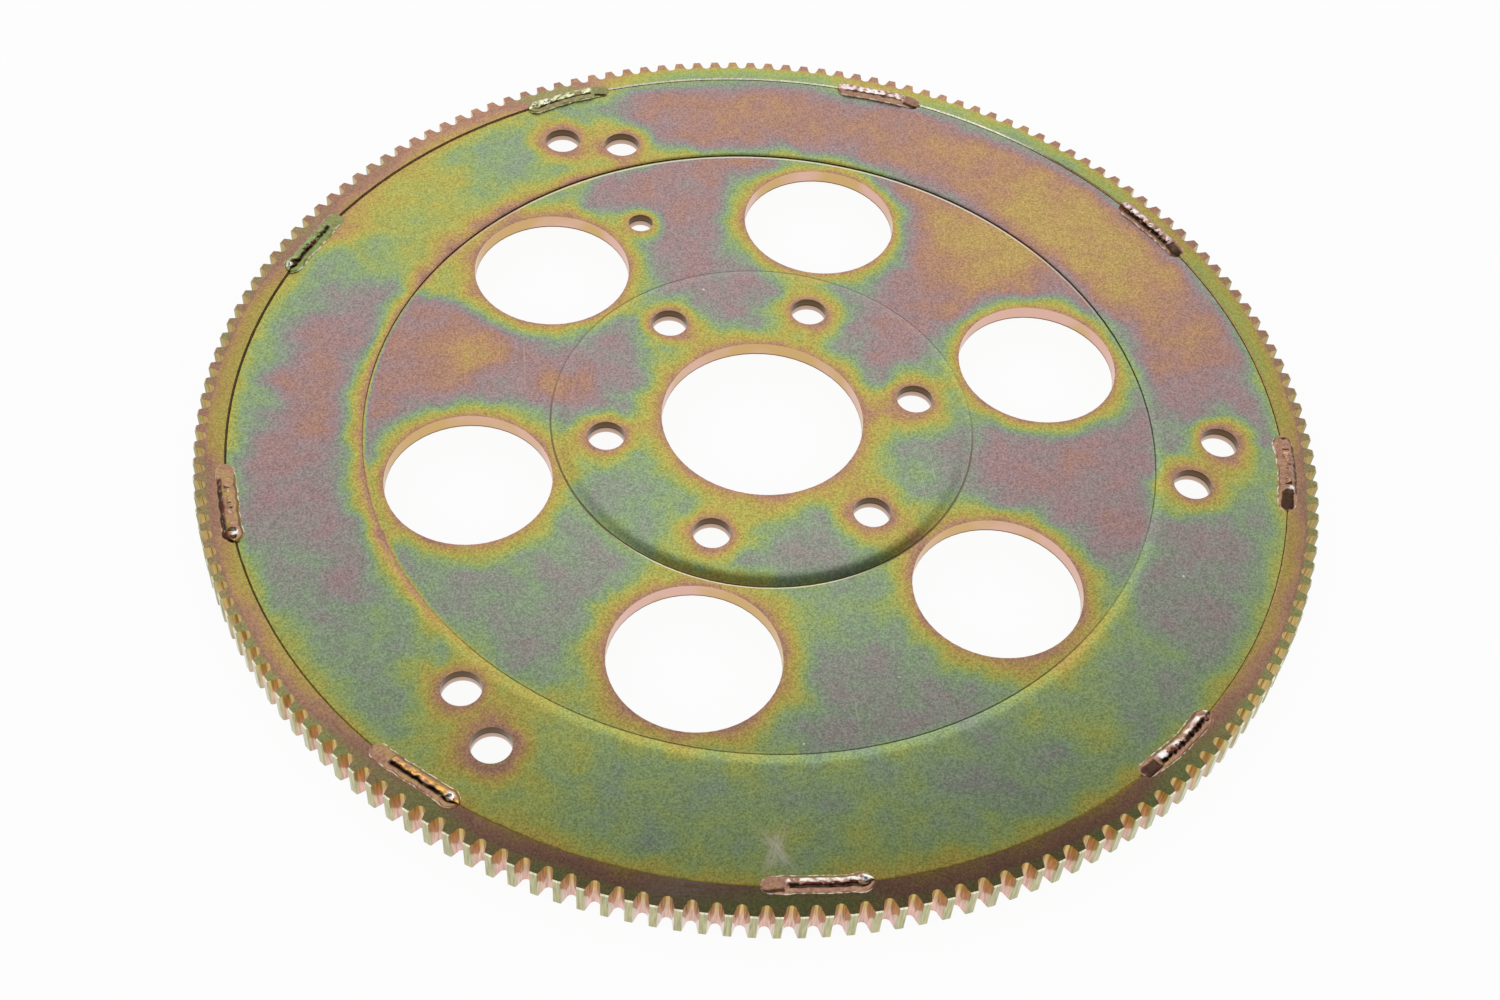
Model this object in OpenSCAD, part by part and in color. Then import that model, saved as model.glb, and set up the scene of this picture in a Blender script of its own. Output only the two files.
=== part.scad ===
// Flexplate: a stamped steel drive plate with a starter ring gear welded round its edge.
// The axis is Z, the underside of the ring gear lies on Z = 0 and a converter pad points along +X.

/* [Ring gear] */
// Number of teeth on the ring
tooth_count = 166; // [130:1:174]
// Width of the ring, from its bore on the plate's edge to the tooth tips
ring_w = 9.7; // [8:0.1:14]
// Depth of a gullet below the tooth tips
tooth_depth = 3.7; // [2.6:0.1:4.2]
// Flat land left on the tip of each tooth
tooth_land = 2.1; // [1.6:0.1:2.6]
// Slope of a tooth flank from the radial line, in degrees
flank_angle = 18; // [10:1:22]
// Angle of the first tooth, in degrees
tooth_phase = 0.77; // [0:0.01:2.16]
// Height of the ring, from its underside to its top face
ring_h = 11.6; // [9:0.1:14]
// Undercut of the round at the bottom of a gullet, behind the flanks
gullet_undercut = 0.04; // [0.02:0.01:0.1]
// Edge break along the tooth tips, top and bottom
tip_break = 0.4; // [0.1:0.1:1]
// Chamfer on the top inner edge of the ring, at the weld seam
ring_chamfer = 0.4; // [0.3:0.1:0.8]

/* [Plate] */
// Land from the bolt circle of the large converter to the edge of the plate
edge_land = 20.15; // [15:0.05:26]
// Thickness of the sheet
plate_t = 4.8; // [3:0.1:6]
// Step down from the top face of the ring to the outer band of the plate
rim_drop = 0.5; // [0.2:0.1:1]
// Rise of the outer band above the web
rim_rise = 0.6; // [0.45:0.05:1.5]
// Diameter at the foot of the step up to the outer band
step_d = 250.2; // [246:0.2:254]
// Width of the rounded shoulder of that step
step_shoulder = 3.4; // [2.5:0.1:4.5]
// Height of the sharp foot that the shoulder of the step ends at
step_foot = 0.25; // [0.15:0.05:0.3]
// Rise of the hub above the web
hub_rise = 1; // [0.7:0.05:2]
// Diameter at the foot of the raised hub
hub_d = 133; // [128:0.5:136]
// Width of the rounded shoulder of the hub
hub_shoulder = 4; // [3:0.1:7]
// Height of the sharp foot that the shoulder of the hub ends at
hub_foot = 0.25; // [0.15:0.05:0.4]
// Width of the crease that the press left in the web along each foot
crease_w = 0.6; // [0.4:0.1:1]
// Depth of that crease
crease_depth = 0.12; // [0.08:0.01:0.14]
// Edge break round the outside of the plate
plate_break = 0.3; // [0.2:0.1:1]

/* [Crank side] */
// Diameter of the centre hole that sits on the crankshaft register
register_d = 63.9; // [56:0.1:70]
// Bolt circle of the crankshaft bolts
crank_circle_d = 100; // [94:0.5:104]
// Diameter of a crankshaft bolt hole
crank_hole_d = 11.6; // [9:0.1:13]
// Number of crankshaft bolts
crank_count = 6; // [4:1:8]
// Angle of the first crankshaft bolt hole, in degrees
crank_phase = 16.9; // [0:0.1:50]
// Turn of the one hole that is out of step, so that the plate fits one way only, in degrees
crank_offset = -4.6; // [-8:0.1:8]
// Which crankshaft bolt hole is out of step
crank_odd_hole = 2; // [0:1:3]

/* [Lightening holes] */
// Number of large holes in the web
light_count = 6; // [3:1:6]
// Circle through the middles of the large holes
light_circle_d = 189.5; // [187:0.5:192]
// Diameter of a large hole
light_d = 51.4; // [30:0.2:52]
// Angle of the first large hole, in degrees
light_phase = 22.8; // [0:0.1:60]

/* [Converter side] */
// Number of converter pads, each with two holes
pad_count = 3; // [3:1:4]
// Bolt circle of the small converter
converter_inner_d = 273.05; // [268:0.05:276]
// Bolt circle of the large converter
converter_outer_d = 292.1; // [288:0.05:298]
// Diameter of a converter bolt hole
converter_hole_d = 11.9; // [9:0.1:13]
// Angle from a pad's middle to each of its two holes, in degrees
pad_spread = 3.8; // [3.3:0.1:6]

/* [Locating hole] */
// Circle through the middle of the small locating hole
locating_circle_d = 194.4; // [190:0.2:198]
// Diameter of the locating hole
locating_d = 8.2; // [5:0.1:10]
// Angle of the locating hole, in degrees
locating_angle = 120.2; // [118:0.1:121]

/* [Welds] */
// Number of weld beads round the seam
weld_count = 9; // [6:1:12]
// Length of a bead along the seam
weld_len = 31; // [20:1:40]
// Width of a bead across the seam
weld_w = 6.5; // [5:0.1:7.5]
// Height of a bead above the outer band of the plate
weld_h = 2.1; // [1.6:0.1:2.8]
// Length of the flat start of a bead
weld_start = 7; // [4:0.5:10]
// Height of that flat start above the outer band of the plate
weld_start_h = 1.2; // [1:0.1:1.6]
// Distance from one ripple of a bead to the next
weld_ripple = 2; // [1.5:0.1:3]
// Extra width of the bulb where a bead ends
weld_bulb = 0.7; // [0:0.1:1.2]
// Angle of the first bead, in degrees
weld_phase = -0.2; // [-3:0.1:3]

/* [Hidden] */
$fn = 96;
plate_r = converter_outer_d / 2 + edge_land;
tip_r = plate_r + ring_w;
rim_top = ring_h - rim_drop;
web_top = rim_top - rim_rise;
hub_top = web_top + hub_rise;
plate_under = web_top - plate_t;

// Half of the gap between two teeth at their tips, and the radius of a round at the bottom of the
// gullet that just touches both flanks.
tooth_pitch = 2 * PI * tip_r / tooth_count;
gap_half = (tooth_pitch - tooth_land) / 2;
touch_r = (gap_half * cos(flank_angle) - tooth_depth * sin(flank_angle)) / (1 - sin(flank_angle));
gullet_middle = tip_r - tooth_depth + touch_r;

// A bead is a row of round caps on the seam, low ones at its start; the angle is that of its last cap.
weld_angle = 360 / weld_count;
start_r = cap_radius(weld_w, weld_start_h);
cap_r = cap_radius(weld_w, weld_h);
bulb_r = cap_radius(weld_w + weld_bulb, weld_h);
ripple_count = round((weld_len - weld_w) / weld_ripple);
bead_half_angle = degrees((weld_len - weld_w) / 2 / plate_r);

// Room that a cutter has beyond the faces it cuts.
margin = 1;

function degrees(radians) = radians * 180 / PI;

// Radius of a round cap of the given width and height.
function cap_radius(width, height) = (pow(width / 2, 2) + pow(height, 2)) / (2 * height);

// Radius of a round that leaves a level face and falls by a height over a width.
function shoulder_radius(width, fall) = (pow(width, 2) + pow(fall, 2)) / (2 * fall);

// Half section under the formed top face of the sheet, from the axis to the plate's edge.
module top_section(bottom) {
    step_r = step_d / 2;
    hub_r = hub_d / 2;
    difference() {
        union() {
            translate([0, bottom])
                square([plate_r, web_top - bottom]);
            translate([step_r + step_shoulder, bottom])
                square([plate_r - step_r - step_shoulder, rim_top - bottom]);
            shoulder_section(step_r + step_shoulder, rim_top, step_shoulder, rim_rise, step_foot, -1);
            translate([0, bottom])
                square([hub_r - hub_shoulder, hub_top - bottom]);
            shoulder_section(hub_r - hub_shoulder, hub_top, hub_shoulder, hub_rise, hub_foot, 1);
        }
        crease_section(step_r, -1);
        crease_section(hub_r, 1);
    }
}

// Groove in the web along the foot of a shoulder, deepest at the foot itself; side is where the web lies.
module crease_section(foot_r, side) {
    polygon([
        [foot_r, web_top - crease_depth],
        [foot_r + side * 2 * crease_w, web_top + crease_depth],
        [foot_r, web_top + crease_depth]
    ]);
}

// Rounded shoulder that leaves a level face at the given radius, falls inwards or outwards on a wide
// round and ends at a sharp upright foot.
module shoulder_section(from_r, top, width, rise, foot, side) {
    round_r = shoulder_radius(width, rise - foot);
    intersection() {
        translate([from_r, top - round_r])
            circle(r = round_r, $fn = 4 * $fn);
        translate([side > 0 ? from_r : from_r - width, top - rise])
            square([width, rise]);
    }
}

// Half section of the pressed sheet: one thickness everywhere, with its outer edges broken.
module sheet_section() {
    below = plate_under - margin;
    difference() {
        top_section(below);
        translate([0, -plate_t])
            top_section(below);
        edge_break_section(plate_r, rim_top, plate_break, -1);
        edge_break_section(plate_r, rim_top - plate_t, plate_break, 1);
    }
}

// Triangle that breaks an outer edge; side is -1 below a top face and 1 above a bottom face.
module edge_break_section(edge_r, edge_z, size, side) {
    reach = size + margin;
    polygon([
        [edge_r - size - margin, edge_z - side * margin],
        [edge_r + margin, edge_z + side * (size + margin)],
        [edge_r + reach, edge_z - side * margin]
    ]);
}

// Holes of one diameter, evenly spaced on a circle.
module hole_circle(count, circle_d, hole_d, phase) {
    for (i = [0:count - 1])
        hole_at(circle_d / 2, phase + i * 360 / count, hole_d);
}

// One hole right through the sheet.
module hole_at(radius, angle, hole_d) {
    rotate([0, 0, angle])
        translate([radius, 0, plate_under - margin])
            cylinder(d = hole_d, h = plate_t + max(hub_rise, rim_rise) + 2 * margin);
}

module drive_plate() {
    color("darkkhaki")
        difference() {
            rotate_extrude($fn = 3 * $fn)
                sheet_section();
            hole_at(0, 0, register_d);
            for (i = [0:crank_count - 1])
                hole_at(
                    crank_circle_d / 2,
                    crank_phase + i * 360 / crank_count + (i == crank_odd_hole ? crank_offset : 0),
                    crank_hole_d
                );
            hole_circle(light_count, light_circle_d, light_d, light_phase);
            hole_circle(pad_count, converter_inner_d, converter_hole_d, -pad_spread);
            hole_circle(pad_count, converter_outer_d, converter_hole_d, pad_spread);
            hole_at(locating_circle_d / 2, locating_angle, locating_d);
        }
}

// Half section of the ring before its teeth are cut.
module ring_section() {
    polygon([
        [plate_r, 0],
        [tip_r - tip_break, 0],
        [tip_r, tip_break],
        [tip_r, ring_h - tip_break],
        [tip_r - tip_break, ring_h],
        [plate_r + ring_chamfer, ring_h],
        [plate_r, ring_h - ring_chamfer]
    ]);
}

// Outline of the gap between two teeth: straight flanks down to a round bottom, slightly undercut.
module gullet_outline() {
    touch_x = touch_r * cos(flank_angle);
    touch_y = gullet_middle - touch_r * sin(flank_angle);
    mouth_x = gap_half + margin * tan(flank_angle);
    translate([0, gullet_middle])
        circle(r = touch_r + gullet_undercut);
    polygon([
        [-touch_x, touch_y],
        [touch_x, touch_y],
        [mouth_x, tip_r + margin],
        [-mouth_x, tip_r + margin]
    ]);
}

module ring_gear() {
    color("goldenrod")
        difference() {
            rotate_extrude($fn = 3 * $fn)
                ring_section();
            for (i = [0:tooth_count - 1])
                rotate([0, 0, tooth_phase - 90 + (i + 0.5) * 360 / tooth_count])
                    translate([0, 0, -margin])
                        linear_extrude(ring_h + 2 * margin)
                            gullet_outline();
        }
}

// Half section of the faces on both sides of the seam, which a bead is melted on to.
module seam_bed_section() {
    reach = weld_w + weld_bulb;
    floor_z = rim_top - 2 * max(start_r, bulb_r);
    polygon([
        [plate_r - reach, floor_z],
        [plate_r + reach, floor_z],
        [plate_r + reach, ring_h],
        [plate_r + ring_chamfer, ring_h],
        [plate_r, ring_h - ring_chamfer],
        [plate_r, rim_top - plate_break],
        [plate_r - plate_break, rim_top],
        [plate_r - reach, rim_top]
    ]);
}

// One round cap of a bead, on the seam at an angle, with its top at a height above the outer band.
module bead_cap(radius, height, angle) {
    rotate([0, 0, angle])
        translate([plate_r, 0, rim_top + height - radius])
            sphere(r = radius);
}

// A bead lies across the seam: a flat start, overlapping ripples and a wider bulb at its end.
module weld_bead(number) {
    color("peru")
        rotate([0, 0, weld_phase + (number - 1) * weld_angle])
            difference() {
                union() {
                    for (i = [0:ripple_count - 1]) {
                        angle = (2 * i / ripple_count - 1) * bead_half_angle;
                        if (i * weld_ripple < weld_start)
                            bead_cap(start_r, weld_start_h, angle);
                        else
                            bead_cap(cap_r, weld_h, angle);
                    }
                    bead_cap(bulb_r, weld_h, bead_half_angle);
                }
                rotate_extrude($fn = 3 * $fn)
                    seam_bed_section();
            }
}

drive_plate();
ring_gear();
for (k = [1:weld_count])
    weld_bead(k);
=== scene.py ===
import math

import bpy
import numpy as np
from mathutils import Matrix, Vector


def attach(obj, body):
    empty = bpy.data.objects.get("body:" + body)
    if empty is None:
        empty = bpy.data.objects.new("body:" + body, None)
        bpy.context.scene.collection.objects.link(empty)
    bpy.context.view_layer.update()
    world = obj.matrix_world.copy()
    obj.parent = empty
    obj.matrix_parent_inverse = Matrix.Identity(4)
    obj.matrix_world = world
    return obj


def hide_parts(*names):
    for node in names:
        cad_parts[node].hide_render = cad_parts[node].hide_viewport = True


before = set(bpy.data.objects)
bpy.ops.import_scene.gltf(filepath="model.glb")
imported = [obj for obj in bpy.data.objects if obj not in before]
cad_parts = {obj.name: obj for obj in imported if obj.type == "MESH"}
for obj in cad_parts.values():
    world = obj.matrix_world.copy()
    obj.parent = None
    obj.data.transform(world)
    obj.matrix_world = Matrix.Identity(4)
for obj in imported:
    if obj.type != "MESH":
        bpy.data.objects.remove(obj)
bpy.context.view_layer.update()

# Drive plate
# A disc pressed from one steel sheet, with a raised hub, a raised outer band and punched holes.
# It is zinc plated and passivated: the clear film grows thick along every edge and thin in the open,
# and its colour runs through the orders of interference as its thickness changes.

# Sizes are in millimetres and angles in degrees from +X, as in the solids.
register_d = 63.9
light_holes = {"count": 6, "circle_d": 189.5, "hole_d": 51.4, "phase": 22.8}
crank_holes = {"count": 6, "circle_d": 100.0, "hole_d": 11.6, "phase": 16.9}
small_converter_holes = {"count": 3, "circle_d": 273.05, "hole_d": 11.9, "phase": -3.8}
large_converter_holes = {"count": 3, "circle_d": 292.1, "hole_d": 11.9, "phase": 3.8}
locating_hole = {"count": 1, "circle_d": 194.4, "hole_d": 8.2, "phase": 120.2}
odd_crank_hole = 136.9
odd_crank_turn = -4.6
step_r = 125.1
hub_r = 66.5
plate_r = 166.2
web_top = 10.5
hub_rise = 1.0
rim_rise = 0.6
rim_top = web_top + rim_rise
plate_t = 4.8
crease_w = 0.6
# How far each formed shoulder is rounded off, how steep it is at its foot, and the power it steepens by.
hub_round = 6.5
hub_lean = 0.4
hub_power = 2.3
step_round = 5.0
step_lean = 0.25
step_power = 2.5

# Colours in screen values: metal laid bare by scratches, specks and scuffs, painted highlight and painted
# shade along the creases, and wide walls.
scratch_colour = (205, 198, 180)
speck_colour = (236, 232, 220)
scuff_colour = (214, 206, 190)
# Painted highlight along the hub's crease in front, and painted shade along it at the sides.
hub_crease_highlight = (246, 242, 214)
hub_crease_shade = (112, 98, 76)
# Painted highlight along the step's crease at the back.
step_crease_highlight = (232, 224, 198)
wide_wall_pink = (222, 180, 164)
wide_wall_gold = (208, 172, 116)
wide_wall_foot = (120, 88, 62)
sheet_roughness = 0.28

# Film that gathered along the edges of each kind of hole: its share right at the edge, and its reach.
hole_halos = {
    "light": (0.83, 7.0),
    "register": (0.86, 8.2),
    "crank": (0.90, 6.6),
    "small": (0.93, 6.0),
    "large": (0.96, 6.4),
    "locating": (0.80, 3.6),
}
# The same for a narrow line at the rims of the light, register and crankshaft holes, and for the outer edge.
sharp_halo = (0.6, 1.0)
outer_halo = (0.44, 5.0)
# Reach of the film at the hub's edge and at the step, where its share changes round the plate.
hub_halo_reach = 3.5
step_halo_reach = 5.0

# Colours of the film by its thickness, from the thinnest gold to the green of the next order.
thickest_film = 1.3
film_colours = [
    (0.00, (186, 158, 98)),
    (0.10, (182, 143, 106)),
    (0.20, (172, 133, 118)),
    (0.30, (163, 135, 134)),
    (0.38, (154, 141, 138)),
    (0.46, (146, 150, 137)),
    (0.53, (142, 161, 129)),
    (0.60, (150, 169, 114)),
    (0.66, (164, 173, 100)),
    (0.74, (178, 172, 90)),
    (0.82, (184, 164, 90)),
    (0.89, (184, 152, 96)),
    (0.95, (178, 138, 110)),
    (1.00, (168, 126, 108)),
    (1.10, (156, 146, 100)),
    (1.22, (140, 160, 98)),
]

# Colours down the wall of a small hole: dark in its upper part, painted shade for the shadowed floor under
# the part that the wall reflects, then a darker line and a paler lower part.
small_wall_shade_colours = [
    (0.00, (88, 66, 50)),
    (0.45, (104, 84, 60)),
    (0.56, (58, 44, 36)),
    (0.64, (178, 150, 132)),
    (1.00, (200, 172, 156)),
]

# Two crossing strokes of a pale scuff beside the front bead: middle, heading, length and width of each.
scuff_strokes = [
    ((16.8, -154.5, rim_top), -0.86, 6.0, 1.6),
    ((16.2, -154.2, rim_top), 1.35, 6.5, 1.6),
]

# Places where the film ran thin or thick in the bath: angle, radius, reach and thickness of each.
film_pools = [
    # Outer band, round from +X
    (12, 148, 12, 0.31),
    (24, 144, 14, 0.16),
    (38, 143, 15, 0.03),
    (50, 138, 18, -0.04),
    (50, 155, 12, 0.07),
    (36, 158, 9, 0.08),
    (60, 130, 8, 0.18),
    (63, 150, 13, 0.13),
    (76, 148, 13, 0.17),
    (82, 160, 8, 0.30),
    (89, 143, 11, 0.19),
    (96, 156, 9, 0.17),
    (100, 142, 10, 0.17),
    (107, 150, 11, 0.24),
    (120, 155, 12, 0.48),
    (132, 147, 13, 0.54),
    (140, 138, 10, 0.62),
    (144, 152, 13, 0.71),
    (151, 140, 11, 0.68),
    (155, 160, 7, 0.88),
    (160, 147, 9, 0.58),
    (167, 157, 8, 0.53),
    (167, 138, 9, 0.31),
    (176, 140, 11, 0.26),
    (176, 158, 8, 0.48),
    (-173, 139, 11, 0.25),
    (-173, 158, 8, 0.53),
    (-162, 150, 11, 0.33),
    (-160, 137, 9, 0.38),
    (-149, 154, 11, 0.46),
    (-147, 138, 9, 0.36),
    (-137, 148, 13, 0.52),
    (-112, 152, 13, 0.63),
    (-104, 157, 8, 0.57),
    (-97, 141, 12, 0.57),
    (-84, 152, 12, 0.59),
    (-72, 156, 9, 0.63),
    (-70, 142, 12, 0.57),
    (-57, 148, 13, 0.52),
    (-46, 145, 10, 0.60),
    (-36, 152, 9, 0.51),
    (-33, 138, 10, 0.55),
    (-22, 142, 12, 0.43),
    (-10, 140, 10, 0.39),
    (-16, 158, 9, 0.47),
    (-3, 157, 9, 0.52),
    # Web between the large holes
    (52, 106, 16, 0.04),
    (58, 84, 10, 0.30),
    (38, 117, 8, 0.28),
    (111, 105, 13, 0.28),
    (116, 84, 11, 0.34),
    (173, 112, 10, 0.22),
    (172, 97, 8, 0.04),
    (175, 80, 9, 0.30),
    (-127, 106, 13, 0.48),
    (-131, 86, 11, 0.44),
    (-66, 106, 14, 0.45),
    (-68, 82, 9, 0.54),
    (-7, 112, 12, 0.31),
    (-4, 84, 11, 0.29),
    (1, 95, 8, 0.24),
    # Hub
    (46, 54, 9, 0.27),
    (64, 61, 7, 0.36),
    (105, 58, 9, 0.34),
    (160, 57, 10, 0.32),
    (175, 63, 5, 0.18),
    (-135, 54, 11, 0.47),
    (-122, 60, 7, 0.52),
    (-75, 54, 10, 0.44),
    (-85, 46, 6, 0.34),
    (-93, 59, 6, 0.38),
    (-45, 60, 8, 0.52),
    (-2, 55, 11, 0.48),
]


class Formula:
    """Writes shader nodes into one tree as a formula: each call adds a node and gives its output."""

    def __init__(self, tree):
        self.tree = tree

    def node(self, kind, *values, **settings):
        """A new node with its settings, its first inputs fed in order."""
        made = self.tree.nodes.new(kind)
        for name, value in settings.items():
            setattr(made, name, value)
        for socket, value in zip(made.inputs, values):
            self.feed(socket, value)
        return made

    def feed(self, socket, value):
        """Links an output to an input, or sets a plain value on it."""
        if isinstance(value, bpy.types.NodeSocket):
            self.tree.links.new(value, socket)
        elif value is not None:
            socket.default_value = value

    def math(self, operation, *values):
        """One step of arithmetic on values."""
        return self.node("ShaderNodeMath", *values, operation=operation).outputs[0]

    def vector(self, operation, *values):
        """One step of arithmetic on vectors."""
        made = self.node("ShaderNodeVectorMath", *values, operation=operation)
        return made.outputs["Value" if operation in ("LENGTH", "DISTANCE") else "Vector"]

    def scaled(self, vector, factor):
        """The vector times a factor."""
        return self.vector("SCALE", vector, None, None, factor)

    def split(self, vector):
        """The three parts of a vector."""
        return self.node("ShaderNodeSeparateXYZ", vector).outputs[:]

    def join(self, x, y, z=0.0):
        """A vector of three parts."""
        return self.node("ShaderNodeCombineXYZ", x, y, z).outputs[0]

    def millimetres(self):
        """Place on the object, in millimetres."""
        return self.scaled(self.node("ShaderNodeTexCoord").outputs["Object"], 1000.0)

    def normal(self):
        """The mesh's own normal."""
        return self.node("ShaderNodeNewGeometry").outputs["Normal"]

    def noise_node(self, place, size, detail):
        """Noise with lumps of a size in millimetres."""
        made = self.node("ShaderNodeTexNoise", place)
        made.inputs["Scale"].default_value = 1 / size
        made.inputs["Detail"].default_value = detail
        return made

    def noise(self, place, size, detail=2.0):
        """Noise as a value from 0 to 1."""
        return self.noise_node(place, size, detail).outputs[0]

    def drift(self, place, size, detail):
        """Noise about zero."""
        return self.math("SUBTRACT", self.noise(place, size, detail), 0.5)

    def push(self, place, size, detail, reach):
        """A vector of noise about zero, times a reach."""
        away = self.vector("SUBTRACT", self.noise_node(place, size, detail).outputs[1], (0.5, 0.5, 0.5))
        return self.scaled(away, reach)

    def drawn_out(self, place, turn, length, width):
        """Place in steps of a length along a heading and a width across it."""
        made = self.node("ShaderNodeMapping", place, vector_type="TEXTURE")
        made.inputs["Rotation"].default_value = (0, 0, turn)
        made.inputs["Scale"].default_value = (length, width, length)
        return made.outputs[0]

    def between(self, value, low, high, at_low=0.0, at_high=1.0):
        """A straight line from low to high, level beyond."""
        made = self.node("ShaderNodeMapRange", value, low, high, at_low, at_high)
        return made.outputs["Result"]

    def bell(self, steps, power):
        """1 at no distance, falling off as the exponential of a power of the distance."""
        return self.math("EXPONENT", self.math("MULTIPLY", self.math("POWER", steps, power), -1.0))

    def ramp(self, value, stops):
        """Colour in straight lines between stops of position and colour."""
        made = self.node("ShaderNodeValToRGB", value)
        elements = made.color_ramp.elements
        while len(elements) < len(stops):
            elements.new(1.0)
        for element, (position, colour) in zip(elements, stops):
            element.position = position
            element.color = colour
        return made.outputs["Color"]

    def curve(self, value, stops):
        """Level in straight lines between stops of position and level."""
        return self.ramp(value, [(position, (level, level, level, 1.0)) for position, level in stops])

    def mix(self, share, first, second, blend="MIX"):
        """The first colour with a share of the second laid over it."""
        made = self.node("ShaderNodeMix", data_type="RGBA", blend_type=blend)
        self.feed(made.inputs["Factor"], share)
        self.feed(made.inputs[6], first)
        self.feed(made.inputs[7], second)
        return made.outputs[2]

    def dimmed(self, colour, factor):
        """The colour times a factor."""
        return self.mix(1.0, colour, self.join(factor, factor, factor), "MULTIPLY")

    def group(self, tree, *values):
        """Outputs of a node group."""
        return self.node("ShaderNodeGroup", *values, node_tree=tree).outputs


class Spot:
    """The point that is shaded: its place in millimetres, its radius and angle about the axis, how far to the
    right and to the back it lies as cosine and sine of that angle, and the upward share of its normal."""

    def __init__(self, f):
        self.place = f.millimetres()
        self.x, self.y, self.z = f.split(self.place)
        self.upright = f.split(f.normal())[2]
        self.radius = f.vector("LENGTH", f.join(self.x, self.y))
        self.angle = f.math("ARCTAN2", self.y, self.x)
        self.to_right = f.math("COSINE", self.angle)
        self.to_back = f.math("SINE", self.angle)


def linear(colour):
    """A colour written in screen values of 0 to 255, as the linear values that shaders take."""
    shares = np.array(colour) / 255
    straight = np.where(shares > 0.04045, ((shares + 0.055) / 1.055) ** 2.4, shares / 12.92)
    return (*straight.tolist(), 1.0)


def new_group(name, inputs, outputs):
    """An empty shader node group with the named sockets, its formula and its two end nodes."""
    tree = bpy.data.node_groups.new(name, "ShaderNodeTree")
    for title, kind in inputs:
        tree.interface.new_socket(name=title, in_out="INPUT", socket_type=kind)
    for title, kind in outputs:
        tree.interface.new_socket(name=title, in_out="OUTPUT", socket_type=kind)
    return tree, Formula(tree), tree.nodes.new("NodeGroupInput"), tree.nodes.new("NodeGroupOutput")


def film_tint_group():
    """Colour of the passivated film for a thickness from 0 to thickest_film."""
    tree, f, given, result = new_group(
        "film_tint", [("Film", "NodeSocketFloat")], [("Tint", "NodeSocketColor")]
    )
    share = f.math("DIVIDE", given.outputs["Film"], thickest_film)
    stops = [(position / thickest_film, linear(colour)) for position, colour in film_colours]
    f.feed(result.inputs["Tint"], f.ramp(share, stops))
    return tree


def handling_marks_group():
    """Fine satin grain, faint scratches along two directions in handled places and a few pale specks.
    The grain is noise squashed in height, so that faces at different heights get the same grain."""
    tree, f, _, result = new_group(
        "handling_marks", [], [(name, "NodeSocketFloat") for name in ("Grain", "Scratches", "Specks")]
    )
    place = f.millimetres()
    squashed = f.vector("MULTIPLY_ADD", place, (1.0, 1.0, 0.1), (0.0, 0.0, 0.27))
    f.feed(result.inputs["Grain"], f.noise(squashed, 0.55, 1.0))
    long_lines = f.between(f.noise(f.drawn_out(place, 0.35, 60.0, 0.5), 1.0, 1.0), 0.70, 0.78)
    short_lines = f.between(f.noise(f.drawn_out(place, 1.75, 45.0, 0.4), 1.0, 1.0), 0.70, 0.78)
    handled = f.between(f.noise(place, 40.0, 2.0), 0.5, 0.65)
    f.feed(
        result.inputs["Scratches"],
        f.math("MULTIPLY", f.math("MAXIMUM", long_lines, short_lines), handled),
    )
    cells = f.node("ShaderNodeTexVoronoi", place)
    cells.inputs["Scale"].default_value = 1 / 12.0
    chosen = f.math("GREATER_THAN", f.split(cells.outputs["Color"])[0], 0.75)
    close = f.math("LESS_THAN", cells.outputs["Distance"], 0.03)
    f.feed(result.inputs["Specks"], f.math("MULTIPLY", chosen, close))
    return tree


film_tint = film_tint_group()
handling_marks = handling_marks_group()


def metal_material(name, roughness):
    """A material of one metallic shader, with the formula that its nodes are written in."""
    material = bpy.data.materials.new(name)
    material.use_nodes = True
    shader = material.node_tree.nodes["Principled BSDF"]
    shader.inputs["Metallic"].default_value = 1.0
    shader.inputs["Roughness"].default_value = roughness
    return material, Formula(material.node_tree), shader


def within_sector(f, angle, count, phase):
    """The angle from the middle of the nearest of some even sectors round the axis."""
    half_sector = math.pi / count
    return f.math("WRAP", f.math("SUBTRACT", angle, math.radians(phase)), half_sector, -half_sector)


def hole_gap(f, radius, angle, holes):
    """Distance to the edge of the nearest hole of an even circle: the angle is folded into one sector."""
    folded = within_sector(f, angle, holes["count"], holes["phase"])
    outwards = f.math("SUBTRACT", f.math("MULTIPLY", radius, f.math("COSINE", folded)), holes["circle_d"] / 2)
    sideways = f.math("MULTIPLY", radius, f.math("SINE", folded))
    return f.math("SUBTRACT", f.vector("LENGTH", f.join(outwards, sideways)), holes["hole_d"] / 2)


def hole_gaps(f, spot):
    """Distance to the edge of each kind of hole. The odd crankshaft hole is turned back to its even place."""
    odd = f.math("COMPARE", spot.angle, math.radians(odd_crank_hole), math.radians(30.0))
    crank_angle = f.math("MULTIPLY_ADD", odd, -math.radians(odd_crank_turn), spot.angle)
    return {
        "light": hole_gap(f, spot.radius, spot.angle, light_holes),
        "register": f.math("SUBTRACT", spot.radius, register_d / 2),
        "crank": hole_gap(f, spot.radius, crank_angle, crank_holes),
        "small": hole_gap(f, spot.radius, spot.angle, small_converter_holes),
        "large": hole_gap(f, spot.radius, spot.angle, large_converter_holes),
        "locating": hole_gap(f, spot.radius, spot.angle, locating_hole),
    }


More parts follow.
